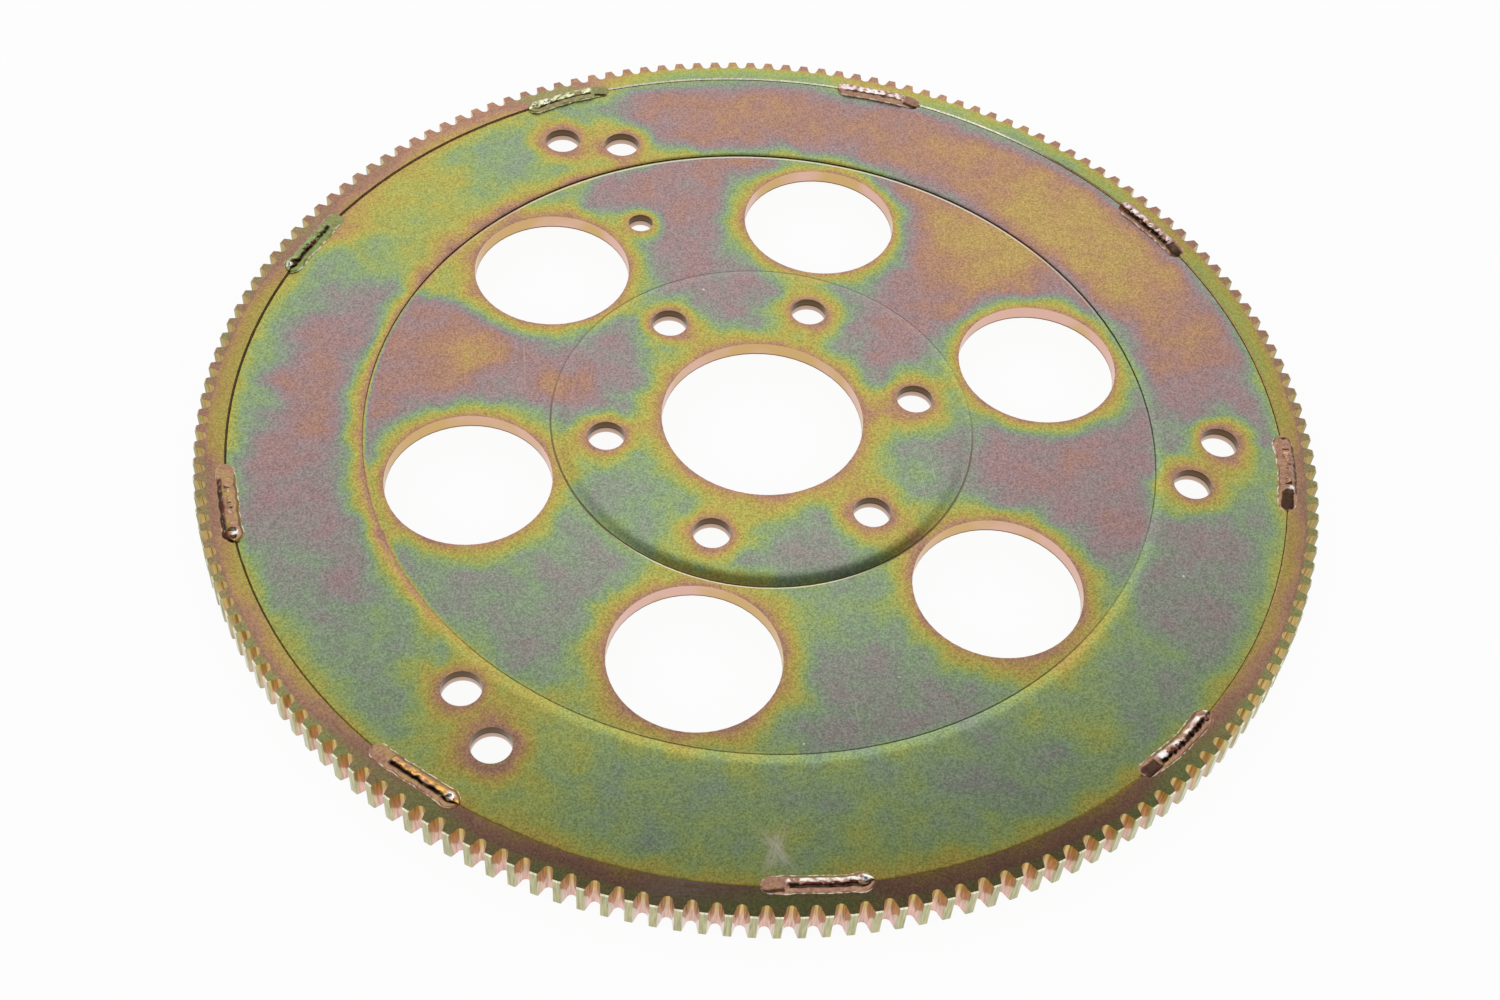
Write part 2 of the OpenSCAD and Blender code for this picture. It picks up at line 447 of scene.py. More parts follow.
def film_from_pools(f, spot):
    """Average of the pools' thickness, each weighed by a bell curve of the distance to its middle. The place
    is first pushed about by slow and quick noise, and the underside is the top's mirror image."""
    face = f.join(spot.x, f.math("MULTIPLY", spot.y, f.math("SIGN", spot.upright)))
    face = f.vector("ADD", face, f.push(spot.place, 34.0, 2.0, 18.0))
    face = f.vector("ADD", face, f.push(spot.place, 9.0, 3.0, 12.0))
    face = f.vector("MULTIPLY", face, (1.0, 1.0, 0.0))
    weights = 0.0
    total = 0.0
    for angle, radius, reach, thickness in film_pools:
        turn = math.radians(angle)
        away = f.vector("DISTANCE", face, (radius * math.cos(turn), radius * math.sin(turn), 0.0))
        weight = f.math("POWER", math.exp(-1 / reach**2), f.math("MULTIPLY", away, away))
        total = f.math("MULTIPLY_ADD", weight, thickness, total)
        weights = f.math("ADD", weight, weights)
    return f.math("DIVIDE", total, f.math("MAXIMUM", weights, 1e-12))


def film_from_edges(f, spot, gaps, pools):
    """The pools' film, thickened towards 1 along every edge. An edge's share falls as a bell of the distance
    in reaches, to the power 1.6, and what the edges leave clear is multiplied. The film at the step is thick
    on the left and thin in front, and at the hub there is a little in front only."""
    nearest = f.math("MINIMUM", f.math("MINIMUM", gaps["light"], gaps["register"]), gaps["crank"])
    hub_gap = f.math("ABSOLUTE", f.math("SUBTRACT", hub_r, spot.radius))
    hub_film = f.between(spot.to_back, -0.9, -0.4, 0.16, 0.0)
    step_gap = f.math("SUBTRACT", spot.radius, step_r)
    step_gap = f.math("MAXIMUM", step_gap, f.math("MULTIPLY", step_gap, -5.0))
    step_film = f.between(spot.to_right, -0.7, 0.0, 0.92, 0.45)
    step_film = f.math("ADD", step_film, f.between(spot.to_right, 0.0, 0.8, 0.0, -0.25))
    step_film = f.math("MULTIPLY", step_film, f.between(spot.to_back, -0.95, -0.65, 0.2, 1.0))
    edges = [(nearest, *sharp_halo)]
    edges += [(gaps[kind], *halo) for kind, halo in hole_halos.items()]
    edges += [
        (hub_gap, hub_film, hub_halo_reach),
        (f.math("SUBTRACT", plate_r, spot.radius), *outer_halo),
        (step_gap, step_film, step_halo_reach),
    ]
    spread = f.between(f.noise(spot.place, 13.0, 2.0), 0.3, 0.7, 0.66, 1.34)
    clear = 1.0
    for gap, strength, reach in edges:
        steps = f.math("DIVIDE", f.math("MAXIMUM", gap, 0.0), f.math("MULTIPLY", spread, reach))
        share = f.math("MULTIPLY", f.bell(steps, 1.6), strength)
        clear = f.math("MULTIPLY", clear, f.math("SUBTRACT", 1.0, share))
    return f.math("SUBTRACT", 1.0, f.math("MULTIPLY", f.math("SUBTRACT", 1.0, pools), clear))


def on_circle(f, radius, middle_r, width):
    """1 along a circle, in a line of a width, and 0 elsewhere."""
    return f.math("COMPARE", radius, middle_r, width / 2)


def stroke(f, place, middle, turn, length, width):
    """A rubbed stroke: a bell curve drawn out along a heading, broken up by noise along the same heading."""
    away = f.vector("SUBTRACT", place, middle)
    bell = f.bell(f.vector("LENGTH", f.drawn_out(away, turn, length, width)), 2.0)
    lines = f.noise(f.drawn_out(place, turn, 5.0, 0.8), 1.0, 4.0)
    return f.math("MULTIPLY", bell, f.between(lines, 0.36, 0.56))


def face_tint(f, spot, film, marks):
    """The film's colour under grain, scratches, specks and scuffs. The line along the hub's crease is a
    painted highlight in front and painted shade at the sides, and the line along the step's crease is a
    painted highlight at the back."""
    tint = f.group(film_tint, film)[0]
    tint = f.dimmed(tint, f.between(marks["Grain"], 0.25, 0.75, 0.66, 1.34))
    tint = f.mix(f.math("MULTIPLY", marks["Scratches"], 0.35), tint, linear(scratch_colour))
    # Painted highlight and painted shade: the hub's crease line is bright in front and dark at the sides.
    hub_crease_light = on_circle(f, spot.radius, hub_r + crease_w / 2, crease_w)
    hub_crease_light = f.math("MULTIPLY", hub_crease_light, f.between(spot.to_back, -0.1, 0.3, 0.85, 0.15))
    to_side = f.between(f.math("ABSOLUTE", spot.to_right), 0.40, 0.65)
    tint = f.mix(hub_crease_light, tint, f.mix(to_side, linear(hub_crease_highlight), linear(hub_crease_shade)))
    # Painted highlight: the step's crease line is bright at the back.
    step_crease_light = on_circle(f, spot.radius, step_r - 1.5 * crease_w, crease_w)
    step_crease_light = f.math("MULTIPLY", step_crease_light, f.between(spot.to_back, 0.4, 0.85, 0.05, 0.85))
    tint = f.mix(step_crease_light, tint, linear(step_crease_highlight))
    tint = f.mix(f.math("MULTIPLY", marks["Specks"], 0.8), tint, linear(speck_colour))
    for middle, turn, length, width in scuff_strokes:
        scuff = stroke(f, spot.place, middle, turn, length, width)
        tint = f.mix(f.math("MULTIPLY", scuff, 0.8), tint, linear(scuff_colour))
    return tint


def wall_tint(f, spot, gaps):
    """Colour of a hole's wall: by the depth as a share of the sheet in a small hole, dark above as painted
    shade, and in a wide one pink with gold patches and a brown foot."""
    on_hub = f.math("LESS_THAN", spot.radius, hub_r)
    on_rim = f.math("GREATER_THAN", spot.radius, step_r)
    top = f.math("MULTIPLY_ADD", on_hub, hub_rise, f.math("MULTIPLY_ADD", on_rim, rim_rise, web_top))
    depth = f.math("DIVIDE", f.math("SUBTRACT", top, spot.z), plate_t)
    # A small hole's wall is dark in its upper part: painted shade.
    small_wall_shaded = f.ramp(depth, [(at, linear(colour)) for at, colour in small_wall_shade_colours])
    gilding = f.between(f.noise(spot.place, 22.0), 0.45, 0.6)
    wide_wall = f.mix(gilding, linear(wide_wall_pink), linear(wide_wall_gold))
    wide_wall = f.mix(f.between(depth, 0.88, 0.94), wide_wall, linear(wide_wall_foot))
    wide_gap = f.math("MINIMUM", f.math("ABSOLUTE", gaps["light"]), f.math("ABSOLUTE", gaps["register"]))
    return f.mix(f.math("LESS_THAN", wide_gap, 0.5), small_wall_shaded, wide_wall)


def formed_normal(f, spot):
    """Normal of the pressed form on the top face: it leans outwards on the hub's shoulder and inwards on the
    band's, by a power of the way to the foot. Creases, edges and the underside keep the mesh's own normal,
    and in front the hub's crease is turned upright, so that its painted highlight faces up like the flat
    face."""
    on_hub = f.math("LESS_THAN", spot.radius, hub_r)
    on_rim = f.math("GREATER_THAN", spot.radius, step_r)
    hub_slope = f.math("POWER", f.between(spot.radius, hub_r - hub_round, hub_r), hub_power)
    hub_slope = f.math("MULTIPLY", hub_slope, f.math("MULTIPLY", on_hub, hub_lean))
    step_slope = f.math("POWER", f.between(spot.radius, step_r, step_r + step_round, 1.0, 0.0), step_power)
    step_slope = f.math("MULTIPLY", step_slope, f.math("MULTIPLY", on_rim, step_lean))
    lean = f.scaled(f.join(spot.to_right, spot.to_back), f.math("SUBTRACT", hub_slope, step_slope))
    leaning = f.vector("NORMALIZE", f.vector("ADD", lean, (0.0, 0.0, 1.0)))
    hub_crease = on_circle(f, spot.radius, hub_r + crease_w / 2, crease_w)
    step_crease = on_circle(f, spot.radius, step_r - crease_w / 2, crease_w)
    creases = f.math("MAXIMUM", hub_crease, step_crease)
    formed = f.math("SUBTRACT", f.math("GREATER_THAN", spot.upright, 0.82), creases)
    # In front the hub's crease gets an upright normal, so that its painted highlight faces up.
    crease_turned_up = f.math("MULTIPLY", hub_crease, f.between(spot.to_back, -0.1, 0.3, 1.0, 0.0))
    crease_turned_up = f.math("MULTIPLY", crease_turned_up, f.math("GREATER_THAN", spot.upright, 0.0))
    formed = f.math("MAXIMUM", formed, crease_turned_up)
    turned = f.scaled(f.vector("SUBTRACT", leaning, f.normal()), formed)
    return f.vector("NORMALIZE", f.vector("ADD", f.normal(), turned))


def plated_sheet_material():
    """Satin metal coloured by its film, with other colours on steep walls and the grain as fine bumps."""
    material, f, shader = metal_material("plated_sheet_film", sheet_roughness)
    spot = Spot(f)
    gaps = hole_gaps(f, spot)
    film = film_from_edges(f, spot, gaps, film_from_pools(f, spot))
    film = f.math("MULTIPLY_ADD", f.drift(spot.place, 11.0, 5.0), 0.38, film)
    marks = f.group(handling_marks)
    tint = face_tint(f, spot, film, marks)
    wall = f.between(f.math("ABSOLUTE", spot.upright), 0.2, 0.5, 1.0, 0.0)
    f.feed(shader.inputs["Base Color"], f.mix(wall, tint, wall_tint(f, spot, gaps)))
    bump = f.node("ShaderNodeBump")
    f.feed(bump.inputs["Normal"], formed_normal(f, spot))
    bump.inputs["Strength"].default_value = 0.25
    bump.inputs["Distance"].default_value = 0.00005
    f.feed(bump.inputs["Height"], marks["Grain"])
    f.feed(shader.inputs["Normal"], bump.outputs[0])
    return material


drive_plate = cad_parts["drive_plate"]
drive_plate.data.materials[0] = plated_sheet_material()

# Ring gear
# A steel ring with teeth cut round its outside for the starter pinion, shrunk on to the plate's edge.
# It has the same plating as the plate, over smoother turned faces, with thicker film out on the teeth.
ring_inner_r = plate_r
ring_root_r = 172.2
ring_tip_r = 175.9
ring_top = 11.6
weld_count = 9
weld_phase = -0.2
# Film on the ring's face and on the tops of its teeth by the angle round it, in degrees.
ring_film = [
    (-180, 0.75),
    (-165, 0.79),
    (-150, 0.78),
    (-130, 0.88),
    (-90, 0.94),
    (-75, 0.90),
    (-45, 0.88),
    (-30, 0.90),
    (-15, 0.82),
    (10, 0.73),
    (30, 0.62),
    (60, 0.58),
    (90, 0.55),
    (108, 0.58),
    (120, 0.88),
    (135, 0.87),
    (150, 0.88),
    (165, 0.78),
    (180, 0.75),
]
tooth_film = [
    (-180, 1.03),
    (-165, 1.07),
    (-135, 1.10),
    (-105, 1.12),
    (-60, 1.12),
    (-30, 1.15),
    (0, 1.12),
    (15, 1.03),
    (30, 1.00),
    (60, 0.97),
    (105, 0.95),
    (120, 1.00),
    (135, 0.98),
    (150, 1.00),
    (165, 1.05),
    (180, 1.03),
]
# A rubbed place on the ring's face in front: its middle, heading, length and width.
ring_scuff = ((-6.0, -168.5, ring_top), 0.1, 12.0, 4.0)
weld_heat_reach = 20.0
ring_roughness = 0.14
# Colours in screen values: gullets low down and high up, tooth tips, the broken edges along the seam, with
# painted shade in front, half lit on the right and a painted highlight at the back, the broken edges of the
# teeth, and the rubbed place.
gullet_low = (212, 172, 158)
gullet_high = (194, 164, 96)
tooth_tip = (178, 174, 132)
seam_shade_front = (78, 62, 48)
seam_half_lit_right = (176, 146, 96)
seam_highlight_back = (238, 230, 210)
tooth_edge = (214, 210, 182)
ring_scuff_colour = (176, 166, 150)


def film_round(f, angle, table):
    """Film by the angle round the axis, in straight lines between the angles of a table in degrees."""
    share = f.math("MULTIPLY_ADD", angle, 0.5 / math.pi, 0.5)
    return f.curve(share, [(at / 360 + 0.5, film) for at, film in table])


def film_on_ring(f, spot):
    """Film by the angle round the ring, thicker outwards and by the heat of a weld, and by a table of its own
    on the teeth. The heat is a flat-topped bell of the way along the seam from the nearest bead's middle."""
    folded = within_sector(f, spot.angle, weld_count, weld_phase)
    along = f.math("MULTIPLY", f.math("ABSOLUTE", folded), ring_inner_r)
    heat = f.bell(f.math("DIVIDE", along, weld_heat_reach), 4.0)
    film = film_round(f, spot.angle, ring_film)
    film = f.math("MULTIPLY_ADD", f.between(spot.radius, ring_inner_r, ring_tip_r), 0.22, film)
    film = f.math("MULTIPLY_ADD", heat, 0.12, film)
    on_teeth = film_round(f, spot.angle, tooth_film)
    film = f.between(spot.radius, ring_root_r - 0.8, ring_root_r + 1.0, film, on_teeth)
    return f.math("MULTIPLY_ADD", f.drift(spot.place, 16.0, 3.0), 0.28, film)


def plated_ring_material():
    """Smooth metal coloured by its film, with colours of their own on steep walls, which are the gullets and
    the tips, and on the broken edges, with painted shade and a painted highlight along the seam. The ring's
    right and far left are darkened by painted shade."""
    material, f, shader = metal_material("plated_ring_film", ring_roughness)
    spot = Spot(f)
    marks = f.group(handling_marks)
    tint = f.group(film_tint, film_on_ring(f, spot))[0]
    wall = f.between(f.math("ABSOLUTE", spot.upright), 0.2, 0.5, 1.0, 0.0)
    tip = f.between(spot.radius, ring_tip_r - 1.2, ring_tip_r - 0.2)
    gullet = f.mix(f.between(spot.z, 3.0, 9.5), linear(gullet_low), linear(gullet_high))
    tint = f.mix(wall, tint, f.mix(tip, gullet, linear(tooth_tip)))

    # The seam's broken edge: painted shade in front, half lit on the right, painted highlight at the back.
    seam = f.mix(f.between(spot.to_right, 0.45, 0.80), linear(seam_shade_front), linear(seam_half_lit_right))
    seam = f.mix(f.between(spot.to_back, 0.82, 0.90), seam, linear(seam_highlight_back))
    outer = f.between(spot.radius, ring_inner_r + 1.8, ring_root_r + 0.8)
    broken_edge = f.math("COMPARE", spot.upright, 0.7, 0.12)
    tint = f.mix(broken_edge, tint, f.mix(outer, seam, linear(tooth_edge)))

    tint = f.dimmed(tint, f.between(marks["Grain"], 0.25, 0.75, 0.72, 1.28))
    tint = f.mix(f.math("MULTIPLY", marks["Scratches"], 0.3), tint, linear(scratch_colour))
    scuff = stroke(f, spot.place, *ring_scuff)
    tint = f.mix(f.math("MULTIPLY", scuff, 0.6), tint, linear(ring_scuff_colour))
    # Painted shade: the ring is darker on its right and far left.
    ring_shade_right = f.math(
        "MAXIMUM",
        f.between(spot.angle, -0.5, -0.2, 1.0, 0.78),
        f.between(spot.angle, 0.6, 1.2, 0.78, 1.0),
    )
    ring_shade_left = f.between(spot.to_right, -0.95, -0.75, 0.82, 1.0)
    tint = f.dimmed(tint, f.math("MULTIPLY", ring_shade_right, ring_shade_left))
    f.feed(shader.inputs["Base Color"], tint)
    return material


ring_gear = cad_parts["ring_gear"]
ring_gear.data.materials[0] = plated_ring_material()

# Weld beads
# Nine short beads lie along the seam and hold the ring on the plate. Each was laid in one pass, from
# a flat start to a fuller end with a small crater, and was plated with the rest.
bead_length = 31.0
bead_half_width = 3.45
bead_half_straight = bead_length / 2 - bead_half_width
bead_body_share = 0.87
bead_height = 1.7
bead_sink = 0.7
bead_ripple = 2.0
ripple_height = 0.045
lump_height = 0.03
skirt_height = 0.14
skirt_sink = 0.06
start_lengths = (6.3, 7.8)
bulb_reach = 2.8
crater_depth = 0.35
wander_width = 0.25
rows_along = 280
columns_over = 64
columns_under = 10
bead_roughness = 0.12

# Looks of each bead, counted from the one on +X: film, lumps, place of the crest across it, place and width
# of the dark core, which is painted shade, place, width, share and colour of the bright streak, which is a
# painted highlight, and place of a painted glint along it.
bead_looks = [
    (0.97, 0.9, 0.12, (0.80, 0.26), (0.25, 0.15, 0.10, (240, 230, 218)), -7.7),
    (0.99, 1.6, -0.20, (-0.55, 0.30), (0.15, 0.35, 0.80, (246, 226, 226)), 9.0),
    (0.98, 1.0, -0.35, (0.85, 0.15), (0.10, 0.55, 0.95, (252, 232, 230)), 3.0),
    (1.14, 1.0, -0.35, (0.85, 0.15), (0.10, 0.55, 0.95, (242, 246, 200)), 8.0),
    (1.17, 1.4, -0.10, (-0.25, 0.30), (0.30, 0.20, 0.20, (214, 224, 170)), 14.0),
    (0.93, 0.7, 0.00, (0.80, 0.34), (-0.20, 0.30, 0.10, (236, 200, 170)), 13.0),
    (0.95, 0.6, 0.12, (0.30, 0.28), (-0.20, 0.20, 0.95, (255, 190, 96)), 12.5),
    (0.97, 0.3, 0.12, (0.12, 0.26), (-0.32, 0.20, 0.95, (250, 244, 236)), 12.5),
    (0.97, 1.4, 0.12, (0.15, 0.30), (-0.35, 0.22, 0.90, (250, 238, 230)), -7.0),
]
# Colours in screen values: the painted highlight along the toe, and the core's painted shade in black and
# dark red.
toe_highlight_colour = (232, 224, 208)
core_shade_black = (36, 26, 21)
core_shade_red = (84, 40, 28)


def uneven(along, across, draw, waves, size):
    """Smooth random relief about zero: a sum of plane waves with random headings, lengths and phases."""
    heading = draw.uniform(0, 2 * np.pi, waves)
    phase = draw.uniform(0, 2 * np.pi, waves)
    stretch = draw.uniform(0.6, 1.6, waves) * 2 * np.pi / size
    wave = np.sin(
        along[..., None] * np.cos(heading) * stretch
        + across[..., None] * np.sin(heading) * stretch
        + phase
    )
    return wave.sum(-1) / np.sqrt(waves)


def bead_grid():
    """Rows along the bead, closer together at its ends, by columns round it from -1 to 1 over the top and
    back below, and which of the columns are on the top."""
    share = (1 - np.cos(np.linspace(0, np.pi, rows_along + 2)[1:-1])) / 2
    along = ((share - 0.5) * bead_length)[:, None]
    over = np.linspace(-1, 1, columns_over)
    under = np.linspace(1, -1, columns_under + 2)[1:-1]
    across = np.concatenate([over, under])[None, :]
    on_top = np.concatenate([np.ones(columns_over), np.zeros(columns_under)])[None, :]
    return along, across, on_top


def bead_width(along, draw):
    """Half width along the bead: a strip with round ends that swells to a bulb at its end and is a little
    uneven. Also how far the round ends have closed, and the bulb's share."""
    past_end = np.clip((np.abs(along) - bead_half_straight) / bead_half_width, 0, 1)
    round_end = np.sqrt(1 - past_end**2)
    bulb = np.exp(-(((along - bead_half_straight) / bulb_reach) ** 2))
    swell = 0.93 + 0.10 * bulb + 0.035 * uneven(along, np.zeros_like(along), draw, 7, 5.0)
    return bead_half_width * swell * round_end, round_end, bulb


def bead_rise(along, across, round_end, bulb, lumps, crest_place, draw):
    """Height over the bed: a low skirt carries a flat ramp at the start, then a leaning arch of even height
    with crescent ripples, lumps and a crater in the bulb. Also the place across the arch from its crest,
    -1 to 1, and the arch's share."""
    level = np.zeros_like(along)
    start_length = draw.uniform(*start_lengths)
    from_start = along + bead_length / 2
    ramp = 0.1 + 0.85 * np.clip(from_start / start_length, 0, 1)
    body = np.clip((from_start - start_length) / 1.5 + 0.5, 0, 1)
    body = body**2 * (3 - 2 * body)
    ridge = bead_height * (1 + 0.05 * bulb) + 0.07 * uneven(along, level, draw, 6, 6.0)
    inside = np.clip(across / bead_body_share, -1, 1)
    crest = crest_place + 0.09 * uneven(along, level, draw, 7, 4.0)
    leaning = np.where(inside < crest, (inside - crest) / (1 + crest), (inside - crest) / (1 - crest))
    arch = 1 - np.abs(leaning) ** np.where(leaning < 0, 3.0, 3.4)
    plain = 1 - np.abs(inside) ** 6
    ripple = np.abs(np.sin(np.pi * (along + 1.1 * across**2) / bead_ripple)) - 0.6
    crater = np.exp(-((along - bead_half_straight - 0.6) ** 2) - (leaning * 2.4) ** 2)
    relief = ripple_height * lumps * ripple * (1 - 0.6 * bulb) - crater_depth * crater
    relief = relief + lump_height * lumps * uneven(along, across * bead_half_width, draw, 14, 2.6)
    rise = body * (ridge + relief) * arch + (1 - body) * ramp * plain
    rise = rise * round_end**0.7 + skirt_height * (1 - np.abs(across) ** 10) * round_end**0.3
    return rise, leaning, body


def weld_bead_surface(middle_angle, lumps, crest_place, draw):
    """A closed bead bent along the seam: its rows are loops, each the rise over a bed that slopes from the
    plate up to the ring, closed by a flat sunk bottom. Also the two tips, and what the looks need."""
    along, across, on_top = bead_grid()
    width, round_end, bulb = bead_width(along, draw)
    rise, leaning, body = bead_rise(along, across, round_end, bulb, lumps, crest_place, draw)
    wander = wander_width * np.sin(along / 5.0 + draw.uniform(0, 6.0))
    radius = ring_inner_r + wander + width * across
    bed = (rim_top + ring_top) / 2 + (ring_top - rim_top) / 2 * across
    z = bed + np.where(on_top > 0, rise - skirt_sink, -bead_sink)
    turn = np.radians(middle_angle) + along / ring_inner_r + 0 * across
    points = np.stack([radius * np.cos(turn), radius * np.sin(turn), z], -1)
    ends = np.array([-1, 1]) * bead_length / 2
    end_turn = np.radians(middle_angle) + ends / ring_inner_r
    end_radius = radius[[0, -1]].mean(1)
    tips = np.stack([end_radius * np.cos(end_turn), end_radius * np.sin(end_turn), z[[0, -1]].mean(1)], -1)
    whole = 0.55 + 0.5 * (1.4 - lumps) + 0.9 * uneven(along, across * bead_half_width, draw, 12, 3.5)
    places = np.stack(np.broadcast_arrays(along, leaning, body, np.clip(whole, 0, 1)), -1)
    return points / 1000, tips / 1000, places


def bead_mesh(name, points, tips):
    """Quads between neighbouring loops, and a fan of triangles from each tip to its end loop."""
    rows, columns = points.shape[:2]
    index = np.arange(rows * columns).reshape(rows, columns)
    following = np.roll(index, -1, 1)
    quads = np.stack([index[:-1], index[1:], following[1:], following[:-1]], -1).reshape(-1, 4)
    start_tip = np.full(columns, rows * columns)
    start_fan = np.stack([start_tip, index[0], following[0]], -1)
    end_fan = np.stack([start_tip + 1, following[-1], index[-1]], -1)
    mesh = bpy.data.meshes.new(name)
    vertices = np.concatenate([points.reshape(-1, 3), tips])
    faces = quads.tolist() + start_fan.tolist() + end_fan.tolist()
    mesh.from_pydata(vertices.tolist(), [], faces)
    mesh.polygons.foreach_set("use_smooth", np.ones(len(faces), bool))
    return mesh


def write_look(mesh, places, film, core_look, gleam_look, glint_place):
    """Keeps the looks of every vertex from its place along and across the bead, its share of the body and
    how whole the streak is there: film, dark core and toe in one attribute, the bright streak's colour and
    share in another. The dark core is painted shade; the streak, the glint and the toe's pale line are
    painted highlights. Core, streak and glint are flat-topped bells, and the toe is the outermost tenth."""
    core_place, core_width = core_look
    gleam_place, gleam_width, gleam_share, gleam_colour = gleam_look
    end_places = [[-bead_length / 2, 1.0, 0.0, 0.0], [bead_length / 2, 1.0, 1.0, 0.0]]
    along, leaning, body, whole = np.concatenate([places.reshape(-1, 4), end_places]).T
    core = body * np.exp(-(((leaning - core_place) / core_width) ** 4))
    streak = gleam_share * whole * body * np.exp(-(((leaning - gleam_place) / gleam_width) ** 4))
    glint = body * np.exp(-(((along - glint_place) / 1.4) ** 4) - ((leaning - gleam_place) / 0.35) ** 4)
    toe = np.clip((np.abs(leaning) - 0.9) / 0.09, 0, 1)
    look = np.column_stack([np.full(len(body), film), core, toe])
    tint = np.array(linear(gleam_colour)[:3])
    bright = tint + (0.95 - tint) * glint[:, None]
    bright = np.column_stack([bright, np.maximum(streak, 0.9 * glint)])
    mesh.attributes.new("look", "FLOAT_VECTOR", "POINT").data.foreach_set("vector", look.ravel())
    mesh.attributes.new("gleam", "FLOAT_COLOR", "POINT").data.foreach_set("color", bright.ravel())


def weld_metal_material():
    """Bright metal in patches of film, with a pale painted highlight in places along the toe. The core's
    painted shade and the streak's painted highlight that the vertices keep are broken up by one ragged noise,
    and the roughness changes from place to place."""
    material, f, shader = metal_material("weld_metal_film", bead_roughness)
    place = f.millimetres()
    film, core, toe = f.split(f.node("ShaderNodeAttribute", attribute_name="look").outputs["Vector"])
    gleam = f.node("ShaderNodeAttribute", attribute_name="gleam").outputs
    patches = f.drift(place, 5.0, 3.0)
    tint = f.group(film_tint, f.math("MULTIPLY_ADD", patches, 0.30, film))[0]
    tint = f.dimmed(tint, f.between(f.noise(place, 0.9, 3.0), 0.3, 0.7, 0.62, 1.06))
    # The toe's pale line is a painted highlight, broken into patches.
    toe_highlight_patches = f.between(f.noise(place, 1.5, 2.0), 0.46, 0.58, 0.0, 0.7)
    tint = f.mix(f.math("MULTIPLY", toe, toe_highlight_patches), tint, linear(toe_highlight_colour))
    ragged = f.noise(place, 2.0, 3.0)
    # The dark core is painted shade, black with dark red patches.
    core = f.math("MULTIPLY", core, f.between(ragged, 0.30, 0.44))
    core_shade_tint = f.mix(f.between(patches, 0.0, 0.14), linear(core_shade_black), linear(core_shade_red))
    tint = f.mix(core, tint, core_shade_tint)
    # The bright streak and the glint are painted highlights.
    streak = f.math("MULTIPLY", gleam["Alpha"], f.between(ragged, 0.36, 0.48))
    f.feed(shader.inputs["Base Color"], f.mix(streak, tint, gleam["Color"]))
    f.feed(shader.inputs["Roughness"], f.between(f.noise(place, 2.5, 2.0), 0.3, 0.7, 0.06, 0.16))
    return material


weld_metal = weld_metal_material()
for number, (film, lumps, crest_place, *streaks) in enumerate(bead_looks, start=1):
    draw = np.random.default_rng(100 + number)
    middle_angle = weld_phase + (number - 1) * 360 / weld_count
    points, tips, places = weld_bead_surface(middle_angle, lumps, crest_place, draw)
    mesh = bead_mesh(f"rippled_bead_{number}", points, tips)
    write_look(mesh, places, film, *streaks)
    mesh.materials.append(weld_metal)
    bead = bpy.data.objects.new(f"rippled_bead_{number}", mesh)
    bpy.context.scene.collection.objects.link(bead)
    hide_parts(f"weld_bead_{number}")
    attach(bead, "root")

# Floor and tent
# The part lies on a white sheet that keeps its faint shadow, in a round tent of white cloth. The tent is
# lit low down all round, is dim overhead, further down on the right, and has a bright hem at the back.
floor_half = 6.0
floor_white_share = 0.94
tent_r = 4.0
tent_slant = 0.11
tent_shade = 0.8
hem_level = 1.6
# Level of light by the height on the tent, as a share of its radius.
tent_levels = [
    (0.00, 1.15),
    (0.57, 1.12),
    (0.77, 0.96),
    (0.80, 0.86),
    (0.82, 0.70),
    (0.84, 0.48),
    (0.86, 0.32),
    (0.88, 0.22),
    (0.90, 0.18),
    (0.93, 0.18),
    (1.00, 0.25),
]
# The hem: its brightness by the height, how far back it starts, and how far it reaches to each side.
hem_heights = [(0.0, 0.0), (0.782, 0.0), (0.79, 1.0), (0.82, 1.0), (0.828, 0.0)]
hem_back = (0.45, 0.52)
hem_sides = (0.11, 0.18)
# The shade overhead on the right: where it starts and is full, to the right and upwards.
shade_right = (0.12, 0.32)
shade_heights = (0.81, 0.86)
white = (1.0, 1.0, 1.0, 1.0)
sheet_white = (0.9, 0.9, 0.9, 1.0)


def stage_piece(name, points, faces):
    """A mesh of given points and faces that belongs to the stage and not to the part."""
    mesh = bpy.data.meshes.new(name)
    mesh.from_pydata(points, [], faces)
    piece = bpy.data.objects.new(name, mesh)
    bpy.context.scene.collection.objects.link(piece)
    return piece


def stage_material(name):
    """An empty material with its formula, its output and the kinds of ray that can meet it."""
    material = bpy.data.materials.new(name)
    material.use_nodes = True
    material.cycles.emission_sampling = "NONE"
    material.node_tree.nodes.clear()
    f = Formula(material.node_tree)
    return material, f, f.node("ShaderNodeOutputMaterial"), f.node("ShaderNodeLightPath").outputs


corners = [(x * floor_half, y * floor_half, 0.0) for x, y in ((-1, -1), (1, -1), (1, 1), (-1, 1))]
floor = stage_piece("floor", corners, [(0, 1, 2, 3)])
floor_white, f, output, rays = stage_material("floor_white")
cloth = f.node("ShaderNodeBsdfDiffuse", sheet_white).outputs[0]
glow = f.node("ShaderNodeEmission", white).outputs[0]
seen = f.math("MAXIMUM", rays["Is Camera Ray"], rays["Is Transmission Ray"])
seen = f.math("MAXIMUM", seen, rays["Is Glossy Ray"])
share = f.math("MULTIPLY", seen, floor_white_share)
f.feed(output.inputs["Surface"], f.node("ShaderNodeMixShader", share, cloth, glow).outputs[0])
floor.data.materials.append(floor_white)


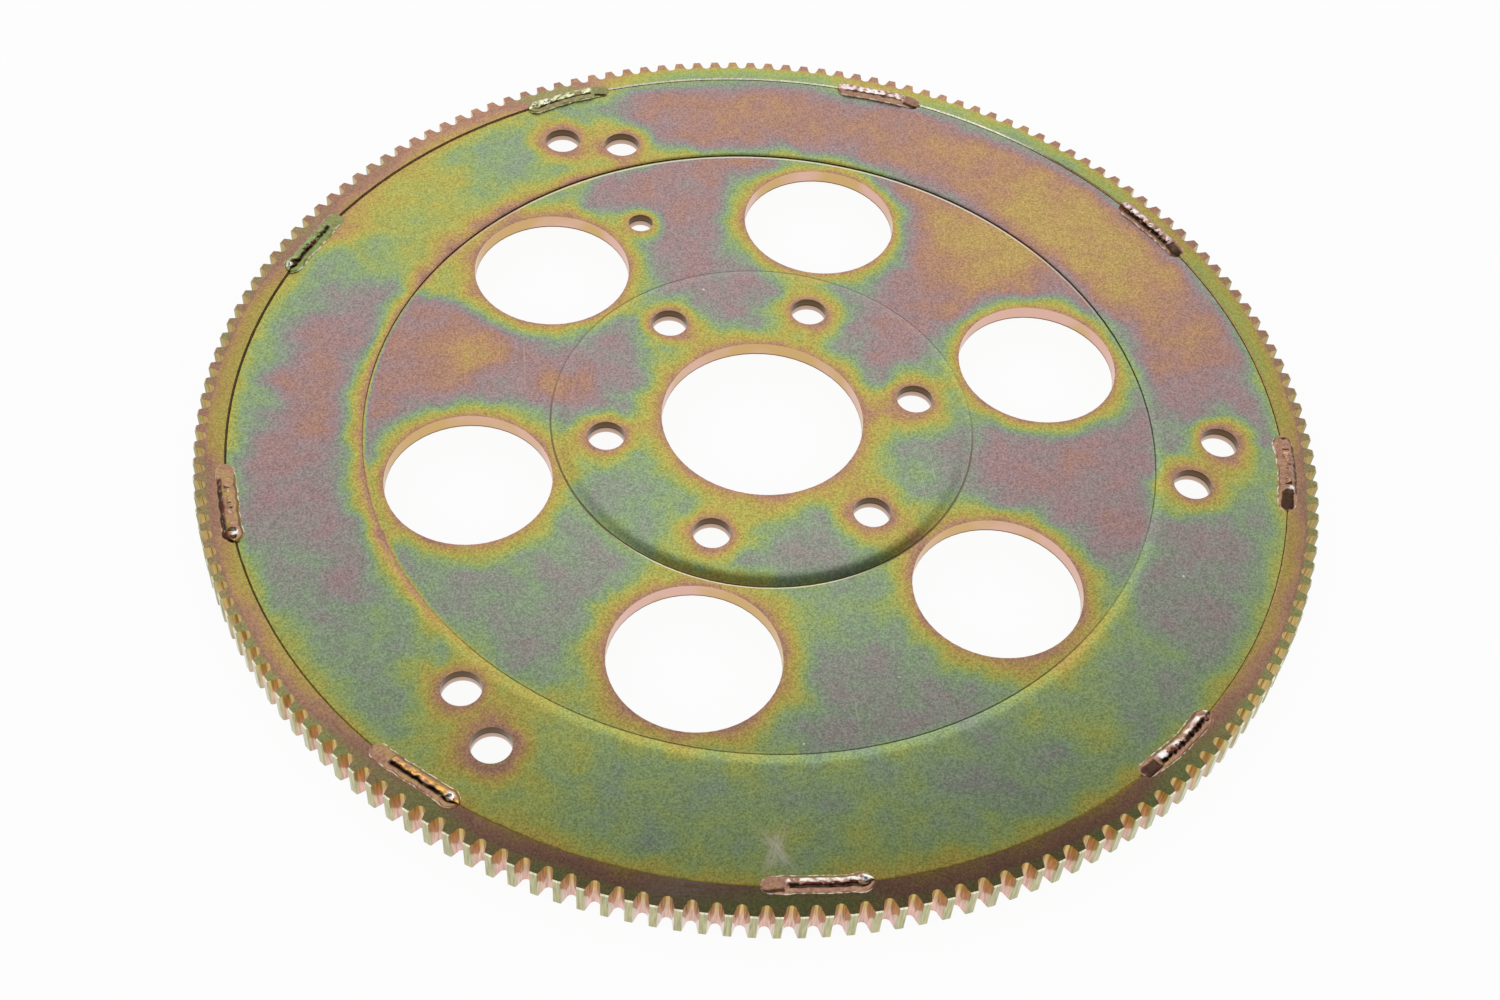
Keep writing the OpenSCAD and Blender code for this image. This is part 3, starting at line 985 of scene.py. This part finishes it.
def tent_surface(turns, rises):
    """Half a sphere as a grid of turn about Z and rise above the floor, closed round its axis."""
    turn = np.linspace(0, 2 * np.pi, turns, endpoint=False)
    turn, rise = np.meshgrid(turn, np.linspace(0, np.pi / 2, rises))
    points = np.stack([np.cos(rise) * np.cos(turn), np.cos(rise) * np.sin(turn), np.sin(rise)], -1) * tent_r
    index = np.arange(turns * rises).reshape(rises, turns)
    following = np.roll(index, -1, 1)
    faces = np.stack([index[:-1], index[1:], following[1:], following[:-1]], -1)
    return points.reshape(-1, 3).tolist(), faces.reshape(-1, 4).tolist()


tent = stage_piece("tent", *tent_surface(96, 48))
tent_cloth, f, output, rays = stage_material("tent_cloth")
x, y, z = f.split(f.scaled(f.node("ShaderNodeTexCoord").outputs["Object"], 1 / tent_r))
level = f.curve(f.math("MULTIPLY_ADD", x, tent_slant, z), tent_levels)
hem = f.math("MULTIPLY", f.curve(z, hem_heights), hem_level)
hem = f.math("MULTIPLY", hem, f.between(y, *hem_back))
level = f.math("MULTIPLY_ADD", hem, f.between(f.math("ABSOLUTE", x), *hem_sides, 1.0, 0.0), level)
shade = f.math("MULTIPLY", f.between(x, *shade_right), f.between(z, *shade_heights))
level = f.math("MULTIPLY", level, f.math("MULTIPLY_ADD", shade, -tent_shade, 1.0))
seen = f.math("MAXIMUM", rays["Is Camera Ray"], rays["Is Transmission Ray"])
level = f.between(seen, 0.0, 1.0, level, 1.0)
f.feed(output.inputs["Surface"], f.node("ShaderNodeEmission", white, level).outputs[0])
tent.data.materials.append(tent_cloth)
bpy.context.scene.view_settings.view_transform = "Standard"

# Camera
# It looks down on the part from in front, turned a little about its own line of sight.
camera_elevation = math.radians(50.43)
camera_heading = math.radians(0.87)
camera_roll = math.radians(5.28)
camera_distance = 0.63023
camera_target = Vector((-0.0015375, -0.033118, 0.0100))
camera_lens = 49.33

back = Vector((0, -math.cos(camera_elevation), math.sin(camera_elevation)))
right = Vector((1, 0, 0))
up = back.cross(right)
turned_right = math.cos(camera_roll) * right + math.sin(camera_roll) * up
turned_up = -math.sin(camera_roll) * right + math.cos(camera_roll) * up
place = Matrix.Translation(camera_target + camera_distance * back)
place = place @ Matrix((turned_right, turned_up, back)).transposed().to_4x4()
camera = bpy.data.objects.new("camera", bpy.data.cameras.new("camera"))
camera.data.sensor_width = 36.0
camera.data.lens = camera_lens
camera.matrix_world = Matrix.Rotation(camera_heading, 4, "Z") @ place
bpy.context.scene.collection.objects.link(camera)
bpy.context.scene.camera = camera
